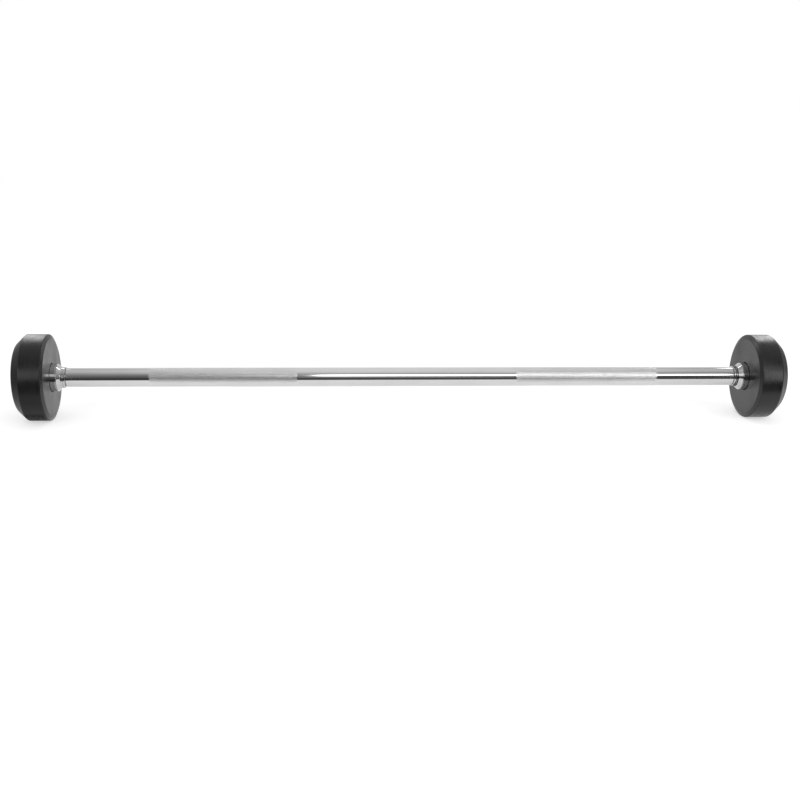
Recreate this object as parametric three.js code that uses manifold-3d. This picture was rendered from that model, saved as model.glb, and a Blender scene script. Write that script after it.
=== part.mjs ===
// Fixed barbell: a chromed bar with two knurled grips and a rubber-covered iron head bolted on each end.
// Millimetres. X runs along the bar, Z is up, and the origin is the middle of the bar.
import * as THREE from 'three';
import { mergeVertices } from 'three/addons/utils/BufferGeometryUtils.js';
import Module from 'manifold-3d';

const wasm = await Module();
wasm.setup();

// Fits shared by all pieces
const SEAT_GAP = 0.3;
const CUT_OVERRUN = 2;

// Bar
const BAR_DIAMETER = 28;
const CENTRE_LENGTH = 323;
const GRIP_LENGTH = 215.3;
const END_LENGTH = 118.8;
const GRIP_DEPTH = 0.2;
const GROOVE_DEPTH = 1.4;
const GROOVE_EDGE_CHAMFER = 0.7;
const SPIGOT_STEP = 3;
const SPIGOT_RECESS = 1.2;
const BAR_EDGE_CHAMFER = 1;
const TAPPED_DEPTH = 30;
const DRILL_POINT_DEPTH = 3.6;

// Split ring that keeps the collar from creeping along the bar. Its split faces down.
const RING_WIDTH = 3.3;
const RING_PROUD = 1.3;
const RING_EDGE_CHAMFER = 0.4;
const RING_SPLIT_WIDTH = 12;

// Round collar with a neck and a long cone towards the grip
const NUT_RIM_WALL = 6.2;
const NUT_NECK_LENGTH = 2.6;
const NUT_NECK_WALL = 1.4;
const NUT_CONE_LENGTH = 4.8;
const NUT_BACK_CHAMFER = 1.1;
const NUT_MOUTH_CHAMFER = 0.8;

// Spacer between the collar and the iron core, through the rubber
const SPACER_WALL = 6.1;
const SPACER_SHOWN_LENGTH = 8;
const SPACER_EDGE_CHAMFER = 0.5;

// Rubber head cover
const HEAD_DIAMETER = 125.7;
const HEAD_LENGTH = 46;
const RIM_POSITION = 32.6;
const RIM_EDGE_RADIUS = 0.8;
const INNER_BEVEL_LENGTH = 2.7;
const INNER_BEVEL_HEIGHT = 6.4;
const BEVEL_EDGE_RADIUS = 1.2;
const END_FACE_DIAMETER = 100;
const END_EDGE_RADIUS = 3;
const COVER_INNER_WALL = 5;
const COVER_DRUM_WALL = 6;
const COVER_OUTER_WALL = 5;
const COVER_BORE_CLEARANCE = 0.9;
const COVER_MOUTH_CHAMFER = 0.6;
const END_GROOVE_DIAMETER = 78;
const END_GROOVE_WIDTH = 2.4;
const END_GROOVE_DEPTH = 0.9;

// Iron core
const ANCHOR_WIDTH = 9;
const ANCHOR_DEPTH = 3;
const ANCHOR_DRAFT = 1;
const WELL_DIAMETER = 52;
const CORE_EDGE_CHAMFER = 2;

// Key between spigot and core
const KEY_WIDTH = 5;
const KEY_HEIGHT = 5;
const KEY_LENGTH = 11;
const KEY_SEAT_DEPTH = 3;
const KEY_SETBACK = 2;

// Clamping screw and its washers
const SCREW_DIAMETER = 12;
const SCREW_LENGTH = 35;
const SCREW_HEAD_DIAMETER = 18;
const SCREW_HEAD_HEIGHT = 12;
const SCREW_EDGE_CHAMFER = 1.2;
const SOCKET_ACROSS_FLATS = 10;
const SOCKET_DEPTH = 6;
const CLAMP_WASHER_DIAMETER = 38;
const CLAMP_WASHER_THICKNESS = 5;
const CLAMP_WASHER_CHAMFER = 0.8;
const SPRING_WASHER_DIAMETER = 20.4;
const SPRING_WASHER_THICKNESS = 2.8;
const SPRING_WASHER_SPLIT = 1.6;
const SPRING_WASHER_SLANT = THREE.MathUtils.degToRad(35);
const WASHER_BORE_CLEARANCE = 0.5;

// End cap that closes the screw's well
const CAP_DIAMETER = 62;
const CAP_THICKNESS = 2.8;
const CAP_SETBACK = 0.5;
const CAP_EDGE_CHAMFER = 0.6;
const CAP_DISH_DIAMETER = 40;
const CAP_DISH_DEPTH = 0.8;
const CAP_DISH_RAMP = 3;
const CAP_SKIRT_WALL = 2;
const CAP_SKIRT_LENGTH = 6;
const CAP_HEAD_ROOM = 2.2;
const CAP_NOTCH_WIDTH = 7;
const CAP_NOTCH_REACH = 1.8;

// Facets round a full turn, and steps round an edge
const HEAD_FACETS = 48;
const BAR_FACETS = 32;
const SMALL_FACETS = 20;
const END_EDGE_STEPS = 2;
const KEY_END_STEPS = 8;

// Radii that follow the bar
const barRadius = BAR_DIAMETER / 2;
const grooveRadius = barRadius - GROOVE_DEPTH;
const ringRadius = barRadius + RING_PROUD;
const nutRimRadius = barRadius + NUT_RIM_WALL;
const nutNeckRadius = barRadius + NUT_NECK_WALL;
const spacerRadius = barRadius + SPACER_WALL;
const spigotRadius = barRadius - SPIGOT_STEP;
const screwRadius = SCREW_DIAMETER / 2;
const tappedRadius = screwRadius + SEAT_GAP;

// Places along the bar, from its middle outwards
const gripStart = CENTRE_LENGTH / 2;
const gripEnd = gripStart + GRIP_LENGTH;
const grooveStart = gripEnd + END_LENGTH;
const ringStart = grooveStart + SEAT_GAP;
const ringEnd = ringStart + RING_WIDTH;
const grooveEnd = ringEnd + SEAT_GAP;
const nutStart = grooveEnd;
const nutConeStart = nutStart + NUT_NECK_LENGTH;
const nutRim = nutConeStart + NUT_CONE_LENGTH;
const nutEnd = nutRim + NUT_BACK_CHAMFER;
const spacerStart = nutEnd + SEAT_GAP;
const headStart = spacerStart + SPACER_SHOWN_LENGTH;
const coreStart = headStart + COVER_INNER_WALL;
const spacerEnd = coreStart - SEAT_GAP;
const shoulderStart = spacerEnd;
const rimPlace = headStart + RIM_POSITION;
const headEnd = headStart + HEAD_LENGTH;
const coreEnd = headEnd - COVER_OUTER_WALL;

// The screw's stack is built inwards from the cap
const capFace = headEnd - CAP_SETBACK;
const capSeat = capFace - CAP_THICKNESS - SEAT_GAP;
const screwTop = capSeat - CAP_HEAD_ROOM;
const screwSeat = screwTop - SCREW_HEAD_HEIGHT;
const springWasherEnd = screwSeat - SEAT_GAP;
const springWasherStart = springWasherEnd - SPRING_WASHER_THICKNESS;
const clampWasherEnd = springWasherStart - SEAT_GAP;
const clampWasherStart = clampWasherEnd - CLAMP_WASHER_THICKNESS;
const wellFloor = clampWasherStart - SEAT_GAP;
const spigotEnd = wellFloor - SPIGOT_RECESS;

// Radii of the head
const headRadius = HEAD_DIAMETER / 2;
const endFaceRadius = END_FACE_DIAMETER / 2;
const cavityRadius = headRadius - COVER_DRUM_WALL;
const coreRadius = cavityRadius - SEAT_GAP;
const coverBoreRadius = spacerRadius + COVER_BORE_CLEARANCE;
const wellRadius = WELL_DIAMETER / 2;
const capRadius = CAP_DIAMETER / 2;

// The shoulder is a cone from the rim to the end face, and the core keeps the same slope inside it
const shoulderSlope = (headRadius - endFaceRadius) / (headEnd - rimPlace);
const shoulderWall = COVER_DRUM_WALL * Math.hypot(1, shoulderSlope);
const shoulderRadiusAt = (place) => headRadius - shoulderSlope * (place - rimPlace);
const coreShoulderRadiusAt = (place) => shoulderRadiusAt(place) - shoulderWall - SEAT_GAP;
const coreShoulderStart = rimPlace + (headRadius - shoulderWall - cavityRadius) / shoulderSlope;

const chrome = () => new THREE.MeshStandardMaterial({ color: 0xd8dadc, roughness: 0.12, metalness: 1 });
const steel = () => new THREE.MeshStandardMaterial({ color: 0x9a9c9f, roughness: 0.4, metalness: 1 });
const iron = () => new THREE.MeshStandardMaterial({ color: 0x3c3d3f, roughness: 0.75, metalness: 0.6 });
const rubber = () => new THREE.MeshStandardMaterial({ color: 0x1d1d1e, roughness: 0.55, metalness: 0 });

const at = (place, radius) => new THREE.Vector2(radius, place);

// Points on a round edge that replaces the corner between two straight runs of a profile
function roundedCorner(before, corner, after, radius, steps = 1) {
  const inward = before.clone().sub(corner).normalize();
  const outward = after.clone().sub(corner).normalize();
  const halfAngle = Math.acos(THREE.MathUtils.clamp(inward.dot(outward), -1, 1)) / 2;
  const run = radius / Math.tan(halfAngle);
  const start = corner.clone().addScaledVector(inward, run);
  const end = corner.clone().addScaledVector(outward, run);
  const bisector = inward.clone().add(outward).normalize();
  const centre = corner.clone().addScaledVector(bisector, radius / Math.sin(halfAngle));
  const first = start.clone().sub(centre).angle();
  let sweep = end.clone().sub(centre).angle() - first;
  if (sweep > Math.PI) sweep -= 2 * Math.PI;
  if (sweep < -Math.PI) sweep += 2 * Math.PI;
  return Array.from({ length: steps + 1 }, (_, step) => {
    const angle = first + (sweep * step) / steps;
    return new THREE.Vector2(Math.cos(angle), Math.sin(angle)).multiplyScalar(radius).add(centre);
  });
}

// A solid needs shared corners, and none of the slivers that a lathe leaves on its axis
function weld(geometry) {
  geometry.deleteAttribute('normal');
  geometry.deleteAttribute('uv');
  const merged = mergeVertices(geometry);
  const corners = merged.index.array;
  const kept = [];
  for (let i = 0; i < corners.length; i += 3) {
    const [a, b, c] = [corners[i], corners[i + 1], corners[i + 2]];
    if (a !== b && b !== c && c !== a) kept.push(a, b, c);
  }
  merged.setIndex(kept);
  return merged;
}

// Turns a profile about the bar's axis. A profile runs from axis to axis, or closes on itself.
function turned(profile, facets) {
  const points = profile.map((point) => point.clone());
  if (points[0].x > 0) points.push(points[0].clone());
  if (THREE.ShapeUtils.isClockWise(points)) points.reverse();
  const blank = new THREE.LatheGeometry(points, facets, Math.PI / facets);
  return weld(blank.rotateZ(-Math.PI / 2));
}

function solid(geometry) {
  return new wasm.Manifold(new wasm.Mesh({
    numProp: 3,
    vertProperties: geometry.attributes.position.array,
    triVerts: new Uint32Array(geometry.index.array),
  }));
}

function geometryOf(manifold) {
  const { vertProperties, triVerts } = manifold.getMesh();
  const geometry = new THREE.BufferGeometry();
  geometry.setAttribute('position', new THREE.BufferAttribute(vertProperties, 3));
  geometry.setIndex(new THREE.BufferAttribute(triVerts, 1));
  return geometry;
}

const cut = (blank, ...tools) =>
  geometryOf(tools.reduce((body, tool) => body.subtract(solid(tool)), solid(blank)));

// A six-sided prism along the bar, with a corner at the top and one at the bottom
function hexPrism(acrossFlats, start, end) {
  const cornerRadius = acrossFlats / 2 / Math.cos(Math.PI / 6);
  const prism = new THREE.CylinderGeometry(cornerRadius, cornerRadius, end - start, 6);
  return weld(prism.rotateZ(-Math.PI / 2).translate((start + end) / 2, 0, 0));
}

// A rectangular block that spans a range along each axis
function block(low, high) {
  const size = high.clone().sub(low);
  const middle = low.clone().add(high).multiplyScalar(0.5);
  return weld(new THREE.BoxGeometry(size.x, size.y, size.z).translate(middle.x, middle.y, middle.z));
}

// A ring with chamfered edges, turned about the bar's axis
function chamferedRing(start, end, bore, radius, chamfer, facets) {
  return turned([
    at(start, bore),
    at(start, radius - chamfer),
    at(start + chamfer, radius),
    at(end - chamfer, radius),
    at(end, radius - chamfer),
    at(end, bore),
  ], facets);
}

// A bar of rectangular section with round ends, the outline of the key and of its seat
function roundEnded(start, length, width, bottom, top) {
  const radius = width / 2;
  const outline = new THREE.Shape();
  outline.absarc(start + length - radius, 0, radius, -Math.PI / 2, Math.PI / 2);
  outline.absarc(start + radius, 0, radius, Math.PI / 2, (3 * Math.PI) / 2);
  const prism = new THREE.ExtrudeGeometry(outline, {
    depth: top - bottom,
    bevelEnabled: false,
    curveSegments: KEY_END_STEPS,
  });
  return weld(prism.translate(0, 0, bottom));
}

// Right-hand half of the bar's outline, from the middle of the bar to the bottom of its tapped hole
function barHalf() {
  const gripRadius = barRadius - GRIP_DEPTH;
  return [
    at(gripStart, barRadius),
    at(gripStart + GRIP_DEPTH, gripRadius),
    at(gripEnd - GRIP_DEPTH, gripRadius),
    at(gripEnd, barRadius),
    at(grooveStart - GROOVE_EDGE_CHAMFER, barRadius),
    at(grooveStart, barRadius - GROOVE_EDGE_CHAMFER),
    at(grooveStart, grooveRadius),
    at(grooveEnd, grooveRadius),
    at(grooveEnd, barRadius),
    at(shoulderStart - BAR_EDGE_CHAMFER, barRadius),
    at(shoulderStart, barRadius - BAR_EDGE_CHAMFER),
    at(shoulderStart, spigotRadius),
    at(spigotEnd - BAR_EDGE_CHAMFER, spigotRadius),
    at(spigotEnd, spigotRadius - BAR_EDGE_CHAMFER),
    at(spigotEnd, tappedRadius + BAR_EDGE_CHAMFER),
    at(spigotEnd - BAR_EDGE_CHAMFER, tappedRadius),
    at(spigotEnd - TAPPED_DEPTH, tappedRadius),
    at(spigotEnd - TAPPED_DEPTH - DRILL_POINT_DEPTH, 0),
  ];
}

function bar() {
  const right = barHalf();
  const left = right.map((point) => at(-point.y, point.x)).reverse();
  const keySeat = roundEnded(
    shoulderStart + KEY_SETBACK - SEAT_GAP,
    KEY_LENGTH + 2 * SEAT_GAP,
    KEY_WIDTH + 2 * SEAT_GAP,
    spigotRadius - KEY_SEAT_DEPTH,
    barRadius + CUT_OVERRUN,
  );
  return cut(turned([...left, ...right], BAR_FACETS), keySeat, keySeat.clone().rotateZ(Math.PI));
}

function retainingRing() {
  const bore = grooveRadius + SEAT_GAP;
  const ring = chamferedRing(ringStart, ringEnd, bore, ringRadius, RING_EDGE_CHAMFER, BAR_FACETS);
  const split = block(
    new THREE.Vector3(ringStart - CUT_OVERRUN, -RING_SPLIT_WIDTH / 2, -ringRadius - CUT_OVERRUN),
    new THREE.Vector3(ringEnd + CUT_OVERRUN, RING_SPLIT_WIDTH / 2, 0),
  );
  return cut(ring, split);
}

function collarNut() {
  const bore = barRadius + SEAT_GAP;
  return turned([
    at(nutStart + NUT_MOUTH_CHAMFER, bore),
    at(nutStart, bore + NUT_MOUTH_CHAMFER),
    at(nutStart, nutNeckRadius),
    at(nutConeStart, nutNeckRadius),
    at(nutRim, nutRimRadius),
    at(nutEnd, nutRimRadius - NUT_BACK_CHAMFER),
    at(nutEnd, bore),
  ], BAR_FACETS);
}

const spacer = () => chamferedRing(
  spacerStart,
  spacerEnd,
  barRadius + SEAT_GAP,
  spacerRadius,
  SPACER_EDGE_CHAMFER,
  BAR_FACETS,
);

// The core's outline above its well and bore. An anchor groove round the drum locks the rubber on.
function coreOutline(growth) {
  const middle = (coreStart + coreShoulderStart) / 2;
  const radius = coreRadius + growth;
  const grooveHalf = ANCHOR_WIDTH / 2 - growth;
  return [
    at(coreStart - growth, radius - CORE_EDGE_CHAMFER),
    at(coreStart - growth + CORE_EDGE_CHAMFER, radius),
    at(middle - grooveHalf, radius),
    at(middle - grooveHalf + ANCHOR_DRAFT, radius - ANCHOR_DEPTH),
    at(middle + grooveHalf - ANCHOR_DRAFT, radius - ANCHOR_DEPTH),
    at(middle + grooveHalf, radius),
    at(coreShoulderStart, radius),
    at(coreEnd + growth - SEAT_GAP, coreShoulderRadiusAt(coreEnd - SEAT_GAP) + growth),
  ];
}

function headCore() {
  const bore = spigotRadius + SEAT_GAP;
  const blank = turned([
    at(coreStart, bore),
    ...coreOutline(0),
    at(coreEnd - SEAT_GAP, wellRadius),
    at(wellFloor, wellRadius),
    at(wellFloor, bore),
  ], BAR_FACETS);
  const halfWidth = KEY_WIDTH / 2 + SEAT_GAP;
  const roof = spigotRadius - KEY_SEAT_DEPTH + KEY_HEIGHT + 2 * SEAT_GAP;
  const keyway = block(
    new THREE.Vector3(coreStart - CUT_OVERRUN, -halfWidth, 0),
    new THREE.Vector3(wellFloor + CUT_OVERRUN, halfWidth, roof),
  );
  return cut(blank, keyway);
}

// The cover is one moulding: outside it has a bevelled inner face, a drum, a rim and a conical shoulder
function headCover() {
  const bevelInner = at(headStart, headRadius - INNER_BEVEL_HEIGHT);
  const bevelOuter = at(headStart + INNER_BEVEL_LENGTH, headRadius);
  const rim = at(rimPlace, headRadius);
  const endEdge = at(headEnd, endFaceRadius);
  const mouth = at(headStart, coverBoreRadius + COVER_MOUTH_CHAMFER);
  const grooveOuter = END_GROOVE_DIAMETER / 2;
  const grooveInner = grooveOuter - END_GROOVE_WIDTH;
  const capPocket = capRadius + SEAT_GAP;
  return turned([
    mouth,
    ...roundedCorner(mouth, bevelInner, bevelOuter, BEVEL_EDGE_RADIUS),
    ...roundedCorner(bevelInner, bevelOuter, rim, BEVEL_EDGE_RADIUS),
    ...roundedCorner(bevelOuter, rim, endEdge, RIM_EDGE_RADIUS),
    ...roundedCorner(rim, endEdge, at(headEnd, grooveOuter), END_EDGE_RADIUS, END_EDGE_STEPS),
    at(headEnd, grooveOuter),
    at(headEnd - END_GROOVE_DEPTH, grooveOuter - END_GROOVE_DEPTH),
    at(headEnd - END_GROOVE_DEPTH, grooveInner + END_GROOVE_DEPTH),
    at(headEnd, grooveInner),
    at(headEnd, capPocket + CAP_EDGE_CHAMFER),
    at(headEnd - CAP_EDGE_CHAMFER, capPocket),
    at(capSeat, capPocket),
    at(capSeat, wellRadius),
    at(coreEnd, wellRadius),
    ...coreOutline(SEAT_GAP).reverse(),
    at(coreStart - SEAT_GAP, coverBoreRadius),
    at(headStart + COVER_MOUTH_CHAMFER, coverBoreRadius),
  ], HEAD_FACETS);
}

const key = () => roundEnded(
  shoulderStart + KEY_SETBACK,
  KEY_LENGTH,
  KEY_WIDTH,
  spigotRadius - KEY_SEAT_DEPTH + SEAT_GAP,
  spigotRadius - KEY_SEAT_DEPTH + SEAT_GAP + KEY_HEIGHT,
);

const clampWasher = () => chamferedRing(
  clampWasherStart,
  clampWasherEnd,
  screwRadius + WASHER_BORE_CLEARANCE,
  CLAMP_WASHER_DIAMETER / 2,
  CLAMP_WASHER_CHAMFER,
  SMALL_FACETS,
);

function springWasher() {
  const radius = SPRING_WASHER_DIAMETER / 2;
  const ring = turned([
    at(springWasherStart, screwRadius + WASHER_BORE_CLEARANCE),
    at(springWasherStart, radius),
    at(springWasherEnd, radius),
    at(springWasherEnd, screwRadius + WASHER_BORE_CLEARANCE),
  ], SMALL_FACETS);
  const middle = (springWasherStart + springWasherEnd) / 2;
  const split = block(
    new THREE.Vector3(-SPRING_WASHER_THICKNESS - CUT_OVERRUN, -SPRING_WASHER_SPLIT / 2, 0),
    new THREE.Vector3(SPRING_WASHER_THICKNESS + CUT_OVERRUN, SPRING_WASHER_SPLIT / 2, radius + CUT_OVERRUN),
  );
  return cut(ring, split.rotateZ(SPRING_WASHER_SLANT).translate(middle, 0, 0));
}

function clampScrew() {
  const headRadiusOfScrew = SCREW_HEAD_DIAMETER / 2;
  const tip = screwSeat - SCREW_LENGTH;
  const blank = turned([
    at(tip, 0),
    at(tip, screwRadius - SCREW_EDGE_CHAMFER),
    at(tip + SCREW_EDGE_CHAMFER, screwRadius),
    at(screwSeat, screwRadius),
    at(screwSeat, headRadiusOfScrew),
    at(screwTop - SCREW_EDGE_CHAMFER, headRadiusOfScrew),
    at(screwTop, headRadiusOfScrew - SCREW_EDGE_CHAMFER),
    at(screwTop, 0),
  ], SMALL_FACETS);
  return cut(blank, hexPrism(SOCKET_ACROSS_FLATS, screwTop - SOCKET_DEPTH, screwTop + CUT_OVERRUN));
}

// The cap is a dished disc with a skirt that pushes into the well, and a notch to prise it out by
function endCap() {
  const under = capSeat + SEAT_GAP;
  const skirtRadius = wellRadius - SEAT_GAP;
  const dishRadius = CAP_DISH_DIAMETER / 2;
  const blank = turned([
    at(under, 0),
    at(under, skirtRadius - CAP_SKIRT_WALL),
    at(under - CAP_SKIRT_LENGTH, skirtRadius - CAP_SKIRT_WALL),
    at(under - CAP_SKIRT_LENGTH, skirtRadius - CAP_EDGE_CHAMFER),
    at(under - CAP_SKIRT_LENGTH + CAP_EDGE_CHAMFER, skirtRadius),
    at(under, skirtRadius),
    at(under, capRadius),
    at(capFace - CAP_EDGE_CHAMFER, capRadius),
    at(capFace, capRadius - CAP_EDGE_CHAMFER),
    at(capFace, dishRadius + CAP_DISH_RAMP),
    at(capFace - CAP_DISH_DEPTH, dishRadius),
    at(capFace - CAP_DISH_DEPTH, 0),
  ], BAR_FACETS);
  const notch = block(
    new THREE.Vector3(under - CUT_OVERRUN, -CAP_NOTCH_WIDTH / 2, -capRadius - CUT_OVERRUN),
    new THREE.Vector3(capFace + CUT_OVERRUN, CAP_NOTCH_WIDTH / 2, -capRadius + CAP_NOTCH_REACH),
  );
  return cut(blank, notch);
}

function piece(name, geometry, material) {
  const mesh = new THREE.Mesh(geometry, material);
  mesh.name = name;
  return mesh;
}

// Everything at one end of the bar. The left end is the right one turned about Z.
function end(side) {
  const group = new THREE.Group();
  group.add(
    piece(`retaining_ring_${side}`, retainingRing(), chrome()),
    piece(`collar_nut_${side}`, collarNut(), chrome()),
    piece(`spacer_${side}`, spacer(), chrome()),
    piece(`head_cover_${side}`, headCover(), rubber()),
    piece(`head_core_${side}`, headCore(), iron()),
    piece(`spigot_key_${side}`, key(), steel()),
    piece(`clamp_washer_${side}`, clampWasher(), steel()),
    piece(`spring_washer_${side}`, springWasher(), steel()),
    piece(`clamp_screw_${side}`, clampScrew(), steel()),
    piece(`end_cap_${side}`, endCap(), rubber()),
  );
  if (side === 'left') group.rotation.z = Math.PI;
  return group;
}

const barbell = new THREE.Group();
barbell.add(piece('bar', bar(), chrome()), end('right'), end('left'));

export default barbell;
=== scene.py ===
import math

import bmesh
import bpy
from mathutils import Matrix, Vector


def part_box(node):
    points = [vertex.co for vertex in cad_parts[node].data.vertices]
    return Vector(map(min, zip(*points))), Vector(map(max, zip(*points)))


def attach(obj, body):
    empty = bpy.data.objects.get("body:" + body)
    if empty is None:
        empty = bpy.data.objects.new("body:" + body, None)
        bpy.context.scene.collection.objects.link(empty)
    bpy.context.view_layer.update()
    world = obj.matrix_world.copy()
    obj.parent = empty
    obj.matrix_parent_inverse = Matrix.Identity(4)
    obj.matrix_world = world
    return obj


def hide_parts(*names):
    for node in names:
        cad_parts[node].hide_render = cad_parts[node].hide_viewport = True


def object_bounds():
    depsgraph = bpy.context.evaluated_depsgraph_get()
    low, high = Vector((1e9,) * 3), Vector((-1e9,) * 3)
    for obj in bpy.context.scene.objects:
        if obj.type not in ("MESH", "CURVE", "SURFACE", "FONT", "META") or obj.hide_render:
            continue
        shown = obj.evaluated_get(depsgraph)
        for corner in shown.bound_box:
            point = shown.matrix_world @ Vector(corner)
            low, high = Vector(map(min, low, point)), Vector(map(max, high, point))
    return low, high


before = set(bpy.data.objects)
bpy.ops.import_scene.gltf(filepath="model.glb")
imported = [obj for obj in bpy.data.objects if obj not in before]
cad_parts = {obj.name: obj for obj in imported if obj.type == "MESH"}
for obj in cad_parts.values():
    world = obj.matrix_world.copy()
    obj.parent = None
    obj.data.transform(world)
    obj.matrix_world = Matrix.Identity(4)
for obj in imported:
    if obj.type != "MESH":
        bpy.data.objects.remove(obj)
cad_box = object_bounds()

BODY = "root"
SIDES = ("left", "right")
WELD = 1e-6
POLE_RADIUS = WELD / 10
EDGE_STEPS = 5
SHARP_ANGLE = math.radians(32)

# Runs from HOLD_FROM up get a point HOLD_DISTANCE from both ends
HOLD_DISTANCE = 0.0004
HOLD_FROM = 0.0016

# Camera: level with the bar's middle before it is raised about the bar
IMAGE_SIZE = 800
SENSOR_WIDTH_MM = 36
FOCAL_PIXELS = 1015.8
PRINCIPAL_X = 384.4
PRINCIPAL_Y = 446.8
CAMERA_DISTANCE = 1.5092
CAMERA_SIDE = -0.1416
CAMERA_YAW = 0.0716
CAMERA_PITCH = 0.0688
CAMERA_ROLL = -0.0022
CAMERA_RAISE = math.radians(12)

# Bar
BAR_COLUMNS = 112
GRIP_START = 0.1615
GRIP_END = 0.3768
KNURL_ROWS = 156
KNURL_DEPTH = 0.00007
KNURL_FLANK = 0.000175
KNURL_EDGE_RUN = 0.00035
GROOVE_DEPTH = 0.0014
GROOVE_EDGE_CHAMFER = 0.0007
SPIGOT_RADIUS = 0.011
TAPPED_RADIUS = 0.0063
TAPPED_DEPTH = 0.03
DRILL_POINT_DEPTH = 0.0036
BAR_EDGE_CHAMFER = 0.001
RING_MARGIN = 0.0003
KEY_SEAT_MARGIN = 0.0003
KEY_SEAT_RUN_OUT = 0.0005

# Retaining ring
RING_SEGMENTS = 128
RING_EDGE = 0.0003
RING_SPLIT_WIDTH = 0.012
RING_SEAT_GAP = 0.00005
RING_SEAT_EDGE = 0.0001

# Collar
NUT_NECK_LENGTH = 0.0029
NUT_NECK_RADIUS = 0.0154
NUT_BORE_CLEARANCE = 0.0003
NUT_CONE_LENGTH = 0.0049
NUT_RIM_RADIUS = 0.0202
NUT_MOUTH_CHAMFER = 0.0008
NUT_BACK_CHAMFER = 0.0006
NUT_EDGE = 0.0003
NUT_BACK_EDGE = 0.0001

# Spacer
SPACER_BORE_CLEARANCE = 0.0003
SPACER_EDGE = 0.0002

# Rubber cover
HEAD_SEGMENTS = 192
BEVEL_LENGTH = 0.0027
BEVEL_HEIGHT = 0.0064
BEVEL_EDGE = 0.0008
RIM_POSITION = 0.0326
RIM_EDGE = 0.0009
END_FACE_RADIUS = 0.05
END_EDGE = 0.0024
BORE_CLEARANCE = 0.0009
MOUTH_CHAMFER = 0.0006
END_GROOVE_RADIUS = 0.039
END_GROOVE_WIDTH = 0.0024
END_GROOVE_DEPTH = 0.0009
CAP_CLEARANCE = 0.0003
CAP_LIP = 0.0006
CAP_SEAT = 0.5587
WELL_RADIUS = 0.026
CORE_GAP = 0.0003
CORE_EDGE = 0.002
CORE_END_RADIUS = 0.0463
CORE_SHOULDER_START = 0.5498
ANCHOR_START = 0.531
ANCHOR_END = 0.54
ANCHOR_DEPTH = 0.003
ANCHOR_DRAFT = 0.001

# End cap
CAP_SKIRT_RADIUS = 0.0257
CAP_SKIRT_WALL = 0.002
CAP_SKIRT_LENGTH = 0.006
CAP_EDGE = 0.0006
CAP_DISH_RADIUS = 0.02
CAP_DISH_DEPTH = 0.0008
CAP_DISH_RAMP = 0.003
CAP_NOTCH_WIDTH = 0.007
CAP_NOTCH_REACH = 0.0018

# Finishes: noise scales per metre, reliefs in metres, and the spans of noise that a look runs over
LATHE_RING_SCALE = (2600, 26, 26)
SMEAR_SCALE = (14, 46, 46)
SPECK_SCALE = 900
HAZE_RUN = (0.35, 0.7)
RUBBER_CLOUD_SCALE = 34
RUBBER_SKIN_SCALE = 2100
RUB_MARK_SCALE = (420, 18, 18)
RUBBER_GLOSS_RUN = (0.75, 1.25)
RUBBER_IOR = 1.44
SAND_SCALE = 1300
SAND_RELIEF = 0.00025
IRON_PATCH_SCALE = 60
ZINC_BLOOM_SCALE = 700
TOOL_MARK_SCALE = (1800, 60, 60)
TOOL_MARK_RELIEF = 0.00001

# Room
FLOOR_REACH = 12.0
FLOOR_DROP = 0.0001
FLOOR_GREY = 0.8
FLOOR_LIFT = 0.53
SOFT_LEVEL = 0.6

# Grey cards that stand round the barbell and only show in its reflections
CARD_REACH = 4.0
WALL_DISTANCE = 2.4
WALL_HEIGHT = 2.5
CEILING_REACH = 3.0
CARDS_MIDDLE = 0.2
WALL_GREYS = (0.08, 0.38)
WALL_GLOW = 0.2
WALL_GLOW_RUN = (0.2, 0.9)
SIDE_WALL_GREYS = (0.25, 0.85)
CEILING_GREYS = (0.55, 1.0)
CEILING_GREY_END = -0.2
CEILING_SIDE_SHARES = (1.0, 0.55)
CEILING_SIDE_RUN = (0.6, 1.6)
TABLE_LIFT = 0.001
TABLE_START = 0.14
TABLE_SHADE_RUN = 0.3
TABLE_GREYS = (0.08, 0.13)
TABLE_SIDE_SHARES = (0.6, 1.0)
TABLE_SIDE_RUN = (-0.7, 0.1)
MIDDLE_START = (-0.27, 0.08)
MIDDLE_END = (0.2, 0.4)
MIDDLE_GREY = 0.1
# Painted shadow: a dark card under the left head that stands for its contact shadow, seen only in
# reflections
CONTACT_SHADOW_START = (-0.57, -0.04)
CONTACT_SHADOW_END = (-0.519, 0.03)
CONTACT_SHADOW_GREY = 0.08
SIDE_REACH = 1.0
SIDE_START_LEFT = -0.522
SIDE_GREYS_LEFT = (0.25, 0.6)
SIDE_RUN_LEFT = (-0.85, -0.6)
SIDE_START_RIGHT = 0.75
SIDE_GREY_RIGHT = 0.8
REAR_HEIGHT = 1.0
REAR_GREYS = (0.65, 1.0)
REAR_RUN = (0.35, 0.9)
WINDOW_START = -1.5
WINDOW_END = -0.5
WINDOW_LOW = 0.4
WINDOW_HIGH = 1.1
WINDOW_LEVEL = 1.4

# Bright cards behind the heads: the places along X of their two lower and two upper corners
BRIGHT_DISTANCE = 1.6
BRIGHT_LOW = 0.35
BRIGHT_HIGH = 2.4
BRIGHT_LEVELS = (1.5, 7.0)
BRIGHT_RUN = (0.3, 0.9)
BRIGHT_CARDS = {
    "bright_left": (-0.965, -1.1, -1.55, -1.145),
    "bright_right": (1.265, 1.4, 2.05, 1.605),
}

# Softboxes: place, size and radiance
SOFTBOXES = {
    "front_softbox": ((0.645, -1.915, 1.083), (1.55, 0.74), 3.0),
    "right_softbox": ((2.06, -2.15, 0.44), (1.14, 1.0), 4.4),
    "left_softbox": ((-1.73, -2.08, 0.716), (1.3, 0.9), 2.7),
}


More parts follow.
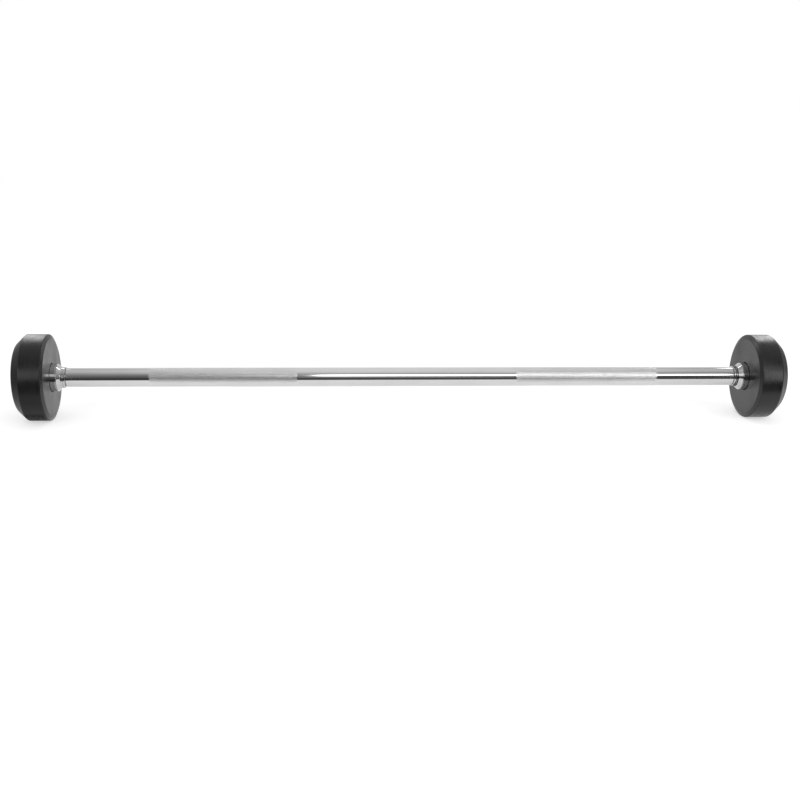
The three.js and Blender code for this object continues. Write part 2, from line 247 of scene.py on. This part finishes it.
def put(tree, kind, inputs=None, **settings):
    """Adds a node. An input is given as a value or as another node's output."""
    made = tree.nodes.new(kind)
    for key, value in settings.items():
        setattr(made, key, value)
    for key, value in (inputs or {}).items():
        if isinstance(value, bpy.types.NodeSocket):
            tree.links.new(value, made.inputs[key])
        else:
            made.inputs[key].default_value = value
    return made


def grey(level):
    return (level, level, level, 1.0)


def ramp(tree, factor, low, high, start=0.3, end=0.7):
    """Runs from low to high as the factor goes from start to end."""
    spread = put(
        tree,
        "ShaderNodeMapRange",
        {"Value": factor, "From Min": start, "From Max": end, "To Min": low, "To Max": high},
    )
    return spread.outputs["Result"]


def maths(tree, operation, first, second=0.0):
    return put(tree, "ShaderNodeMath", {0: first, 1: second}, operation=operation).outputs[0]


def noise(tree, place, scale=1.0, detail=3.0, roughness=0.5):
    made = put(
        tree,
        "ShaderNodeTexNoise",
        {"Vector": place, "Scale": scale, "Detail": detail, "Roughness": roughness},
    )
    return made.outputs["Fac"]


def stretched(tree, place, scale):
    """Object coordinates scaled differently along each axis."""
    return put(tree, "ShaderNodeMapping", {"Vector": place, "Scale": scale}).outputs["Vector"]


def start_material(name):
    """An empty node material and its object coordinates."""
    material = bpy.data.materials.new(name)
    material.use_nodes = True
    tree = material.node_tree
    tree.nodes.clear()
    place = put(tree, "ShaderNodeTexCoord").outputs["Object"]
    return material, tree, place


def finish_material(tree, surface):
    out = put(tree, "ShaderNodeOutputMaterial")
    tree.links.new(surface.outputs[0], out.inputs["Surface"])


def finish_solid(tree, inputs):
    finish_material(tree, put(tree, "ShaderNodeBsdfPrincipled", inputs))


def colour_between(tree, factor, low, high):
    mixed = put(tree, "ShaderNodeMix", {"Factor": factor}, data_type="RGBA")
    mixed.inputs["A"].default_value = grey(low)
    mixed.inputs["B"].default_value = grey(high)
    return mixed.outputs["Result"]


def bump(tree, height, distance, strength=1.0, normal=None):
    inputs = {"Height": height, "Distance": distance, "Strength": strength}
    if normal is not None:
        inputs["Normal"] = normal
    return put(tree, "ShaderNodeBump", inputs).outputs["Normal"]


def chrome(name, roughness=(0.03, 0.08), turning=0.0000015, level=(0.56, 0.62)):
    """Hard chrome over turned steel: fine rings from the lathe, faint smears and a little haze."""
    material, tree, place = start_material(name)
    rings = noise(tree, stretched(tree, place, LATHE_RING_SCALE), detail=2.0)
    smears = noise(tree, stretched(tree, place, SMEAR_SCALE), detail=4.0, roughness=0.6)
    specks = noise(tree, place, SPECK_SCALE, detail=2.0)
    haze = ramp(tree, smears, *roughness, *HAZE_RUN)
    colour = colour_between(tree, ramp(tree, smears, 1.0, 0.0), *level)
    relief = bump(tree, rings, turning, strength=0.6)
    relief = bump(tree, specks, turning, strength=0.3, normal=relief)
    finish_solid(
        tree, {"Base Color": colour, "Metallic": 1.0, "Roughness": haze, "Normal": relief}
    )
    return material


def rubber(name, level=(0.004, 0.009), roughness=(0.24, 0.38), grain=0.00002):
    """Moulded black rubber: a fine skin grain, cloudy gloss and faint rub marks round the drum."""
    material, tree, place = start_material(name)
    clouds = noise(tree, place, RUBBER_CLOUD_SCALE, detail=4.0, roughness=0.55)
    rubs = noise(tree, stretched(tree, place, RUB_MARK_SCALE))
    skin = noise(tree, place, RUBBER_SKIN_SCALE, roughness=0.6)
    gloss = ramp(tree, maths(tree, "ADD", clouds, rubs), *roughness, *RUBBER_GLOSS_RUN)
    colour = colour_between(tree, ramp(tree, clouds, 0.0, 1.0), *level)
    relief = bump(tree, skin, grain, strength=0.5)
    relief = bump(tree, rubs, grain, strength=0.3, normal=relief)
    finish_solid(
        tree, {"Base Color": colour, "Roughness": gloss, "IOR": RUBBER_IOR, "Normal": relief}
    )
    return material


def iron(name, level=(0.05, 0.1), roughness=(0.55, 0.8), metal=0.55):
    """Sand-cast iron with a thin dark coat."""
    material, tree, place = start_material(name)
    sand = noise(tree, place, SAND_SCALE, detail=5.0, roughness=0.65)
    patches = noise(tree, place, IRON_PATCH_SCALE, detail=4.0)
    colour = colour_between(tree, ramp(tree, patches, 0.0, 1.0), *level)
    grit = ramp(tree, sand, *roughness)
    relief = bump(tree, sand, SAND_RELIEF, strength=0.7)
    finish_solid(
        tree, {"Base Color": colour, "Metallic": metal, "Roughness": grit, "Normal": relief}
    )
    return material


def plain_steel(name, level=(0.34, 0.46), roughness=(0.28, 0.45)):
    """Zinc-plated steel with a crystalline bloom."""
    material, tree, place = start_material(name)
    bloom = noise(tree, place, ZINC_BLOOM_SCALE, detail=4.0, roughness=0.6)
    tool_marks = noise(tree, stretched(tree, place, TOOL_MARK_SCALE), detail=2.0)
    colour = colour_between(tree, ramp(tree, bloom, 0.0, 1.0), *level)
    haze = ramp(tree, bloom, *roughness)
    relief = bump(tree, tool_marks, TOOL_MARK_RELIEF, strength=0.5)
    finish_solid(
        tree, {"Base Color": colour, "Metallic": 1.0, "Roughness": haze, "Normal": relief}
    )
    return material


def place_of(node):
    """Start and end along the bar, and radius, of a CAD node."""
    low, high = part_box(node)
    return low.x, high.x, high.z


def hold_flats(bm):
    """Adds a point near both ends of each long run, so that smooth shading stays flat."""
    for edge in bm.edges[:]:
        length = edge.calc_length()
        if length < HOLD_FROM:
            continue
        start, end = edge.verts
        share = HOLD_DISTANCE / length
        _, held = bmesh.utils.edge_split(edge, start, share)
        rest = next(link for link in held.link_edges if end in link.verts)
        bmesh.utils.edge_split(rest, end, share / (1 - share))


def turned(corners, segments, closed=True, split=0.0):
    """Spins an outline about the bar. A corner is (place, radius) or (place, radius, edge run).

    A split leaves that angle open at the bottom.
    """
    bm = bmesh.new()
    verts = [bm.verts.new((corner[0], 0, corner[1])) for corner in corners]
    ends = verts[1:] + verts[:1] if closed else verts[1:]
    for start, end in zip(verts, ends):
        bm.edges.new((start, end))
    for vert, corner in zip(verts, corners):
        if len(corner) > 2:
            bmesh.ops.bevel(
                bm,
                geom=[vert],
                offset=corner[2],
                offset_type="OFFSET",
                segments=EDGE_STEPS,
                profile=0.5,
                affect="VERTICES",
                material=-1,
            )
    hold_flats(bm)
    start_turn = Matrix.Rotation(math.pi + split / 2, 3, "X")
    bmesh.ops.rotate(bm, cent=(0, 0, 0), matrix=start_turn, verts=bm.verts)
    bmesh.ops.spin(
        bm,
        geom=bm.verts[:] + bm.edges[:],
        axis=(1, 0, 0),
        cent=(0, 0, 0),
        angle=math.tau - split,
        steps=segments,
        use_merge=split == 0,
    )
    if split:
        bmesh.ops.holes_fill(bm, edges=[edge for edge in bm.edges if edge.is_boundary])
    close_up(bm)
    return bm


def close_up(bm):
    """Welds seams and poles and points every face outwards."""
    bmesh.ops.remove_doubles(bm, verts=bm.verts, dist=WELD)
    bmesh.ops.recalc_face_normals(bm, faces=bm.faces)


def press_flat(verts, half_width, height):
    """Moves the points within half_width of the middle plane to one height."""
    for vert in verts:
        if abs(vert.co.y) < half_width:
            vert.co.z = height


def mirrored(bm):
    """The same piece at the left end."""
    twin = bm.copy()
    bmesh.ops.scale(twin, vec=(-1, 1, 1), verts=twin.verts)
    bmesh.ops.reverse_faces(twin, faces=twin.faces)
    return twin


def make_piece(name, bm, materials, slot, *nodes):
    mesh = bpy.data.meshes.new(name)
    bm.to_mesh(mesh)
    bm.free()
    mesh.set_sharp_from_angle(angle=SHARP_ANGLE)
    for material in materials:
        mesh.materials.append(material)
    piece = bpy.data.objects.new(name, mesh)
    bpy.context.scene.collection.objects.link(piece)
    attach(piece, BODY)
    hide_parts(*nodes)


def make_pair(name, bm, material, slot, node):
    """The right and left copies of a piece from one end of the bar."""
    for face in bm.faces:
        face.smooth = True
    twin = mirrored(bm)
    make_piece(f"{name}_right", bm, [material], slot, f"{node}_right")
    make_piece(f"{name}_left", twin, [material], slot, f"{node}_left")


def knurl_tube(radius):
    """A tube of raised diamonds between GRIP_START and GRIP_END, with open ends."""
    bm = bmesh.new()
    bmesh.ops.create_grid(bm, x_segments=KNURL_ROWS, y_segments=BAR_COLUMNS, size=0.5)
    row_step = (GRIP_END - GRIP_START) / KNURL_ROWS
    for vert in bm.verts:
        row = round((vert.co.x + 0.5) * KNURL_ROWS)
        column = round((vert.co.y + 0.5) * BAR_COLUMNS)
        angle = math.tau * column / BAR_COLUMNS
        vert.tag = (row + column) % 2 == 1
        vert.co = (
            GRIP_START + row * row_step,
            (radius - KNURL_DEPTH) * math.sin(angle),
            (radius - KNURL_DEPTH) * math.cos(angle),
        )
    crossings = [vert for vert in bm.verts if not vert.tag]
    bmesh.ops.connect_verts(bm, verts=crossings)
    bmesh.ops.remove_doubles(bm, verts=bm.verts, dist=WELD)
    middles = [vert for vert in bm.verts if len(vert.link_faces) == 4 and not vert.is_boundary]
    bmesh.ops.dissolve_verts(bm, verts=middles)
    diamonds = [face for face in bm.faces if len(face.verts) == 4]
    bmesh.ops.recalc_face_normals(bm, faces=bm.faces)
    bmesh.ops.inset_individual(
        bm, faces=diamonds, thickness=KNURL_FLANK, depth=KNURL_DEPTH, use_even_offset=True
    )
    for face in bm.faces:
        face.material_index = 1
        face.smooth = True
    return bm


def run_on(bm, rim, place, radius):
    """Draws an open rim on to a new place and radius, and returns the new rim."""
    made = bmesh.ops.extrude_edge_only(bm, edges=rim)["geom"]
    for vert in (item for item in made if isinstance(item, bmesh.types.BMVert)):
        across = math.hypot(vert.co.y, vert.co.z)
        vert.co = (place, vert.co.y * radius / across, vert.co.z * radius / across)
    for face in (item for item in made if isinstance(item, bmesh.types.BMFace)):
        face.material_index = 0
        face.smooth = True
    return [item for item in made if isinstance(item, bmesh.types.BMEdge) and item.is_boundary]


def rim_at(bm, place):
    return [
        edge
        for edge in bm.edges
        if edge.is_boundary and all(abs(vert.co.x - place) < WELD for vert in edge.verts)
    ]


def bar_body():
    """Half of the bar is drawn out from its knurled grip, then mirrored about the middle."""
    _, spigot_end, radius = place_of("bar")
    ring_start, ring_end, _ = place_of("retaining_ring_right")
    _, shoulder, _ = place_of("spacer_right")
    key_low, key_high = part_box("spigot_key_right")
    seat_start = key_low.x - KEY_SEAT_MARGIN
    seat_end = key_high.x + KEY_SEAT_MARGIN
    groove_start = ring_start - RING_MARGIN
    groove_end = ring_end + RING_MARGIN
    groove_radius = radius - GROOVE_DEPTH
    bm = knurl_tube(radius)
    inner = rim_at(bm, GRIP_START)
    outer = rim_at(bm, GRIP_END)
    inner = run_on(bm, inner, GRIP_START - KNURL_EDGE_RUN, radius)
    inner = run_on(bm, inner, GRIP_START - KNURL_EDGE_RUN - HOLD_DISTANCE, radius)
    run_on(bm, inner, 0, radius)
    tapped_floor = spigot_end - TAPPED_DEPTH
    for place, ring_radius in (
        (GRIP_END + KNURL_EDGE_RUN, radius),
        (GRIP_END + KNURL_EDGE_RUN + HOLD_DISTANCE, radius),
        (groove_start - GROOVE_EDGE_CHAMFER - HOLD_DISTANCE, radius),
        (groove_start - GROOVE_EDGE_CHAMFER, radius),
        (groove_start, radius - GROOVE_EDGE_CHAMFER),
        (groove_start, groove_radius),
        (groove_end, groove_radius),
        (groove_end, radius),
        (shoulder - BAR_EDGE_CHAMFER, radius),
        (shoulder, radius - BAR_EDGE_CHAMFER),
        (shoulder, SPIGOT_RADIUS),
        (seat_start - KEY_SEAT_RUN_OUT, SPIGOT_RADIUS),
        (seat_start, SPIGOT_RADIUS),
        (seat_end, SPIGOT_RADIUS),
        (seat_end + KEY_SEAT_RUN_OUT, SPIGOT_RADIUS),
        (spigot_end - BAR_EDGE_CHAMFER, SPIGOT_RADIUS),
        (spigot_end, SPIGOT_RADIUS - BAR_EDGE_CHAMFER),
        (spigot_end, TAPPED_RADIUS + BAR_EDGE_CHAMFER),
        (spigot_end - BAR_EDGE_CHAMFER, TAPPED_RADIUS),
        (tapped_floor, TAPPED_RADIUS),
        (tapped_floor - DRILL_POINT_DEPTH, POLE_RADIUS),
    ):
        outer = run_on(bm, outer, place, ring_radius)
    seat_rings = [
        vert
        for vert in bm.verts
        if seat_start - WELD < vert.co.x < seat_end + WELD and vert.co.z > key_low.z
    ]
    press_flat(seat_rings, key_high.y + KEY_SEAT_MARGIN, key_low.z - KEY_SEAT_MARGIN)
    bmesh.ops.remove_doubles(bm, verts=bm.verts, dist=WELD)
    bmesh.ops.mirror(bm, geom=bm.verts[:] + bm.edges[:] + bm.faces[:], merge_dist=WELD, axis="X")
    close_up(bm)
    return bm


def retaining_ring():
    """The ring is split at the bottom, where it opens to go over the bar."""
    start, _, radius = place_of("retaining_ring_right")
    nut_start, _, _ = place_of("collar_nut_right")
    _, _, bar_radius = place_of("bar")
    bore = bar_radius - GROOVE_DEPTH + RING_MARGIN
    seat = nut_start - RING_SEAT_GAP
    return turned(
        [(start, bore), (start, radius, RING_EDGE), (seat, radius, RING_SEAT_EDGE), (seat, bore)],
        RING_SEGMENTS,
        split=RING_SPLIT_WIDTH / bar_radius,
    )


def collar_nut():
    start, end, _ = place_of("collar_nut_right")
    _, _, bar_radius = place_of("bar")
    bore = bar_radius + NUT_BORE_CLEARANCE
    cone_start = start + NUT_NECK_LENGTH
    rim = cone_start + NUT_CONE_LENGTH
    return turned(
        [
            (start + NUT_MOUTH_CHAMFER, bore),
            (start, bore + NUT_MOUTH_CHAMFER),
            (start, NUT_NECK_RADIUS, RING_SEAT_EDGE),
            (cone_start, NUT_NECK_RADIUS, NUT_EDGE),
            (rim, NUT_RIM_RADIUS, NUT_EDGE),
            (end, NUT_RIM_RADIUS - NUT_BACK_CHAMFER, NUT_BACK_EDGE),
            (end, bore),
        ],
        RING_SEGMENTS,
    )


def spacer():
    start, end, radius = place_of("spacer_right")
    _, _, bar_radius = place_of("bar")
    bore = bar_radius + SPACER_BORE_CLEARANCE
    return turned(
        [(start, bore), (start, radius, SPACER_EDGE), (end, radius, SPACER_EDGE), (end, bore)],
        RING_SEGMENTS,
    )


def rubber_cover():
    """One moulding round the core, with a bevelled inner face, a drum, a rim and a shoulder."""
    start, end, radius = place_of("head_cover_right")
    _, _, spacer_radius = place_of("spacer_right")
    core_start, core_end, core_radius = place_of("head_core_right")
    _, _, cap_radius = place_of("end_cap_right")
    bore = spacer_radius + BORE_CLEARANCE
    pocket = cap_radius + CAP_CLEARANCE
    groove_inner = END_GROOVE_RADIUS - END_GROOVE_WIDTH
    cavity = core_radius + CORE_GAP
    cavity_start = core_start - CORE_GAP
    rib_start = ANCHOR_START + CORE_GAP
    rib_end = ANCHOR_END - CORE_GAP
    rib = cavity - ANCHOR_DEPTH
    return turned(
        [
            (start, bore + MOUTH_CHAMFER),
            (start, radius - BEVEL_HEIGHT, BEVEL_EDGE),
            (start + BEVEL_LENGTH, radius, BEVEL_EDGE),
            (start + RIM_POSITION, radius, RIM_EDGE),
            (end, END_FACE_RADIUS, END_EDGE),
            (end, END_GROOVE_RADIUS),
            (end - END_GROOVE_DEPTH, END_GROOVE_RADIUS - END_GROOVE_DEPTH),
            (end - END_GROOVE_DEPTH, groove_inner + END_GROOVE_DEPTH),
            (end, groove_inner),
            (end, pocket + CAP_LIP),
            (end - CAP_LIP, pocket),
            (CAP_SEAT, pocket),
            (CAP_SEAT, WELL_RADIUS),
            (core_end + CORE_GAP, WELL_RADIUS),
            (core_end + CORE_GAP, CORE_END_RADIUS),
            (CORE_SHOULDER_START, cavity),
            (rib_end, cavity),
            (rib_end - ANCHOR_DRAFT, rib),
            (rib_start + ANCHOR_DRAFT, rib),
            (rib_start, cavity),
            (cavity_start + CORE_EDGE, cavity),
            (cavity_start, cavity - CORE_EDGE),
            (cavity_start, bore),
            (start + MOUTH_CHAMFER, bore),
        ],
        HEAD_SEGMENTS,
    )


def end_cap():
    """A dished disc with a skirt that pushes into the well, and a notch to prise it out by."""
    _, face, radius = place_of("end_cap_right")
    under = CAP_SEAT + CAP_CLEARANCE
    skirt_end = under - CAP_SKIRT_LENGTH
    skirt_bore = CAP_SKIRT_RADIUS - CAP_SKIRT_WALL
    notch_height = CAP_NOTCH_REACH - radius
    bm = turned(
        [
            (under, 0),
            (under, skirt_bore),
            (skirt_end, skirt_bore),
            (skirt_end, CAP_SKIRT_RADIUS, CAP_EDGE),
            (under, CAP_SKIRT_RADIUS),
            (under, radius),
            (face, radius, CAP_EDGE),
            (face, CAP_DISH_RADIUS + CAP_DISH_RAMP, CAP_EDGE),
            (face - CAP_DISH_DEPTH, CAP_DISH_RADIUS, CAP_EDGE),
            (face - CAP_DISH_DEPTH, 0),
        ],
        HEAD_SEGMENTS,
        closed=False,
    )
    rim = [vert for vert in bm.verts if vert.co.z < notch_height]
    press_flat(rim, CAP_NOTCH_WIDTH / 2, notch_height)
    return bm


def make_camera():
    data = bpy.data.cameras.new("photo_camera")
    data.sensor_width = SENSOR_WIDTH_MM
    data.lens = SENSOR_WIDTH_MM * FOCAL_PIXELS / IMAGE_SIZE
    data.shift_x = (IMAGE_SIZE / 2 - PRINCIPAL_X) / IMAGE_SIZE
    data.shift_y = (PRINCIPAL_Y - IMAGE_SIZE / 2) / IMAGE_SIZE
    camera = bpy.data.objects.new("photo_camera", data)
    camera.matrix_world = (
        Matrix.Rotation(-CAMERA_RAISE, 4, "X")
        @ Matrix.Translation((CAMERA_SIDE, -CAMERA_DISTANCE, 0))
        @ Matrix.Rotation(math.pi / 2, 4, "X")
        @ Matrix.Rotation(-CAMERA_YAW, 4, "Y")
        @ Matrix.Rotation(-CAMERA_PITCH, 4, "X")
        @ Matrix.Rotation(CAMERA_ROLL, 4, "Z")
    )
    bpy.context.scene.collection.objects.link(camera)
    bpy.context.scene.camera = camera


def seen_directly(tree):
    """1 for camera rays and mirror images, 0 for the light that falls on things."""
    path = put(tree, "ShaderNodeLightPath").outputs
    mirrored_ray = maths(tree, "MAXIMUM", path["Is Glossy Ray"], path["Is Transmission Ray"])
    return maths(tree, "MAXIMUM", path["Is Camera Ray"], mirrored_ray)


def make_world():
    world = bpy.data.worlds.new("studio_world")
    world.use_nodes = True
    tree = world.node_tree
    tree.nodes.clear()
    soft = put(tree, "ShaderNodeBackground", {"Color": grey(1.0), "Strength": SOFT_LEVEL})
    white = put(tree, "ShaderNodeBackground", {"Color": grey(1.0), "Strength": 1.0})
    mixed = put(tree, "ShaderNodeMixShader", {0: seen_directly(tree)})
    tree.links.new(soft.outputs[0], mixed.inputs[1])
    tree.links.new(white.outputs[0], mixed.inputs[2])
    out = put(tree, "ShaderNodeOutputWorld")
    tree.links.new(mixed.outputs[0], out.inputs["Surface"])
    bpy.context.scene.world = world


def make_sheet(name, corners, material):
    """A flat card between four corners."""
    bm = bmesh.new()
    bmesh.ops.contextual_create(bm, geom=[bm.verts.new(corner) for corner in corners])
    mesh = bpy.data.meshes.new(name)
    bm.to_mesh(mesh)
    bm.free()
    mesh.materials.append(material)
    sheet = bpy.data.objects.new(name, mesh)
    bpy.context.scene.collection.objects.link(sheet)
    return sheet


def floor_material():
    """Pale floor that is white to the camera where nothing shades it."""
    material, tree, _ = start_material("studio_floor")
    paint = put(tree, "ShaderNodeBsdfDiffuse", {"Color": grey(FLOOR_GREY)})
    lift = maths(tree, "MULTIPLY", seen_directly(tree), FLOOR_LIFT)
    glow = put(tree, "ShaderNodeEmission", {"Color": grey(1.0), "Strength": lift})
    both = put(tree, "ShaderNodeAddShader")
    tree.links.new(paint.outputs[0], both.inputs[0])
    tree.links.new(glow.outputs[0], both.inputs[1])
    finish_material(tree, both)
    return material


def card_material(name, shade):
    """A card whose grey is worked out from its own coordinates by shade."""
    material, tree, place = start_material(name)
    parts = put(tree, "ShaderNodeSeparateXYZ", {"Vector": place}).outputs
    glow = put(tree, "ShaderNodeEmission", {"Color": grey(1.0), "Strength": shade(tree, parts)})
    finish_material(tree, glow)
    return material


def aside(tree, parts):
    """Distance to either side of the cards' middle."""
    return maths(tree, "ABSOLUTE", maths(tree, "SUBTRACT", parts["X"], CARDS_MIDDLE))


def wall_shade(tree, parts):
    """Dark at the horizon, grey towards the ceiling and a little paler in the middle."""
    upward = ramp(tree, parts["Z"], *WALL_GREYS, 0.0, WALL_HEIGHT)
    glow = ramp(tree, aside(tree, parts), WALL_GLOW, 0.0, *WALL_GLOW_RUN)
    return maths(tree, "ADD", upward, glow)


def rear_shade(tree, parts):
    """A grey skirting that fades into the white room."""
    return ramp(tree, parts["Z"], *REAR_GREYS, *REAR_RUN)


def side_wall_shade(tree, parts):
    """Grey at the floor, paler towards the ceiling."""
    return ramp(tree, parts["Z"], *SIDE_WALL_GREYS, 0.0, WALL_HEIGHT)


def table_shade(tree, parts):
    """The table in front falls off into the dark room, and is darker on the left."""
    far_edge = -TABLE_START - TABLE_SHADE_RUN
    forward = ramp(tree, parts["Y"], *TABLE_GREYS, far_edge, -TABLE_START)
    sideways = ramp(tree, parts["X"], *TABLE_SIDE_SHARES, *TABLE_SIDE_RUN)
    return maths(tree, "MULTIPLY", forward, sideways)


def table_left_shade(tree, parts):
    """Darker away from the barbell."""
    return ramp(tree, parts["X"], *SIDE_GREYS_LEFT, *SIDE_RUN_LEFT)


def ceiling_shade(tree, parts):
    """White above the barbell, greyer towards the front and both sides."""
    forward = ramp(tree, parts["Y"], *CEILING_GREYS, -WALL_DISTANCE, CEILING_GREY_END)
    sideways = ramp(tree, aside(tree, parts), *CEILING_SIDE_SHARES, *CEILING_SIDE_RUN)
    return maths(tree, "MULTIPLY", forward, sideways)


def bright_shade(tree, parts):
    """Brightest from shoulder height up."""
    return ramp(tree, parts["Z"], *BRIGHT_LEVELS, *BRIGHT_RUN)


def even_shade(level):
    return lambda tree, parts: level


def make_card(name, corners, shade):
    """A sheet that only mirror images show."""
    card = make_sheet(name, corners, card_material(name + "_grey", shade))
    card.visible_camera = False
    card.visible_diffuse = False
    card.visible_transmission = False
    card.visible_volume_scatter = False
    card.visible_shadow = False


def level_card(name, start, end, height, shade):
    corners = [
        (start[0], start[1], height),
        (end[0], start[1], height),
        (end[0], end[1], height),
        (start[0], end[1], height),
    ]
    make_card(name, corners, shade)


def upright_card(name, start, end, low, high, shade):
    make_card(name, [(*start, low), (*end, low), (*end, high), (*start, high)], shade)


def make_cards(ground):
    table = ground + TABLE_LIFT
    top = ground + WALL_HEIGHT
    wall = WALL_DISTANCE
    reach = CARD_REACH
    level_card("table_front", (-reach, -wall), (reach, -TABLE_START), table, table_shade)
    level_card("table_middle", MIDDLE_START, MIDDLE_END, table, even_shade(MIDDLE_GREY))
    # Painted shadow under the left head: a dark card that only the drum's reflections show
    level_card("painted_shadow_under_head", CONTACT_SHADOW_START, CONTACT_SHADOW_END, table, even_shade(CONTACT_SHADOW_GREY))
    left_start, left_end = (-wall, -TABLE_START), (SIDE_START_LEFT, SIDE_REACH)
    level_card("table_left", left_start, left_end, table, table_left_shade)
    right_start, right_end = (SIDE_START_RIGHT, -TABLE_START), (wall, SIDE_REACH)
    level_card("table_right", right_start, right_end, table, even_shade(SIDE_GREY_RIGHT))
    level_card("ceiling", (-reach, -wall), (reach, CEILING_REACH), top, ceiling_shade)
    upright_card("wall_front", (-reach, -wall), (reach, -wall), ground, top, wall_shade)
    upright_card("wall_left", (-wall, -wall), (-wall, wall), ground, top, side_wall_shade)
    upright_card("wall_right", (wall, -wall), (wall, wall), ground, top, side_wall_shade)
    upright_card("wall_rear", (-wall, wall), (wall, wall), ground, ground + REAR_HEIGHT, rear_shade)
    window = [(-wall + TABLE_LIFT, place) for place in (WINDOW_START, WINDOW_END)]
    upright_card("window_left", *window, WINDOW_LOW, WINDOW_HIGH, even_shade(WINDOW_LEVEL))
    low, high = ground + BRIGHT_LOW, ground + BRIGHT_HIGH
    heights = (low, low, high, high)
    for name, places in BRIGHT_CARDS.items():
        corners = [(place, BRIGHT_DISTANCE, height) for place, height in zip(places, heights)]
        make_card(name, corners, bright_shade)


def make_stage():
    ground = cad_box[0].z - FLOOR_DROP
    reach = FLOOR_REACH
    corners = [(x * reach, y * reach, ground) for x, y in ((-1, -1), (1, -1), (1, 1), (-1, 1))]
    make_sheet("floor", corners, floor_material())
    make_cards(ground)


def make_softbox(name, place, size, radiance):
    """A rectangular lamp of that radiance, turned to face the bar."""
    data = bpy.data.lights.new(name, "AREA")
    data.shape = "RECTANGLE"
    data.size, data.size_y = size
    data.energy = radiance * math.pi * size[0] * size[1]
    lamp = bpy.data.objects.new(name, data)
    lamp.location = place
    lamp.rotation_mode = "QUATERNION"
    lamp.rotation_quaternion = Vector((0, place[1], place[2])).to_track_quat("Z", "Y")
    lamp.visible_camera = False
    bpy.context.scene.collection.objects.link(lamp)


def make_lights():
    for name, softbox in SOFTBOXES.items():
        make_softbox(name, *softbox)


def dress_hidden_parts():
    """The pieces inside the heads keep their solids and take their own finishes."""
    cast = iron("cast_iron")
    zinc = plain_steel("zinc_steel")
    black_steel = plain_steel("black_oxide_steel", level=(0.03, 0.06), roughness=(0.3, 0.42))
    finishes = {
        "head_core": cast,
        "spigot_key": zinc,
        "clamp_washer": zinc,
        "spring_washer": black_steel,
        "clamp_screw": black_steel,
    }
    for part, material in finishes.items():
        for side in SIDES:
            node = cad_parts[f"{part}_{side}"]
            node.data.materials.clear()
            node.data.materials.append(material)


def make_barbell():
    polished = chrome("polished_chrome")
    knurled = chrome(
        "knurled_chrome", roughness=(0.12, 0.19), turning=0.000004, level=(0.58, 0.64)
    )
    collar = chrome("collar_chrome", roughness=(0.03, 0.07), level=(0.48, 0.54))
    sleeve = chrome("spacer_chrome", roughness=(0.05, 0.09), level=(0.7, 0.76))
    make_piece("turned_bar", bar_body(), [polished, knurled], "bar_chrome", "bar")
    make_pair("split_ring", retaining_ring(), collar, "collar_chrome", "retaining_ring")
    make_pair("cone_nut", collar_nut(), collar, "collar_chrome", "collar_nut")
    make_pair("turned_spacer", spacer(), sleeve, "collar_chrome", "spacer")
    make_pair("moulded_cover", rubber_cover(), rubber("head_rubber"), "head_rubber", "head_cover")
    make_pair("pressed_cap", end_cap(), rubber("cap_rubber"), "cap_rubber", "end_cap")
    dress_hidden_parts()


def main():
    scene = bpy.context.scene
    scene.view_settings.view_transform = "Standard"
    make_camera()
    make_world()
    make_stage()
    make_lights()
    make_barbell()


main()
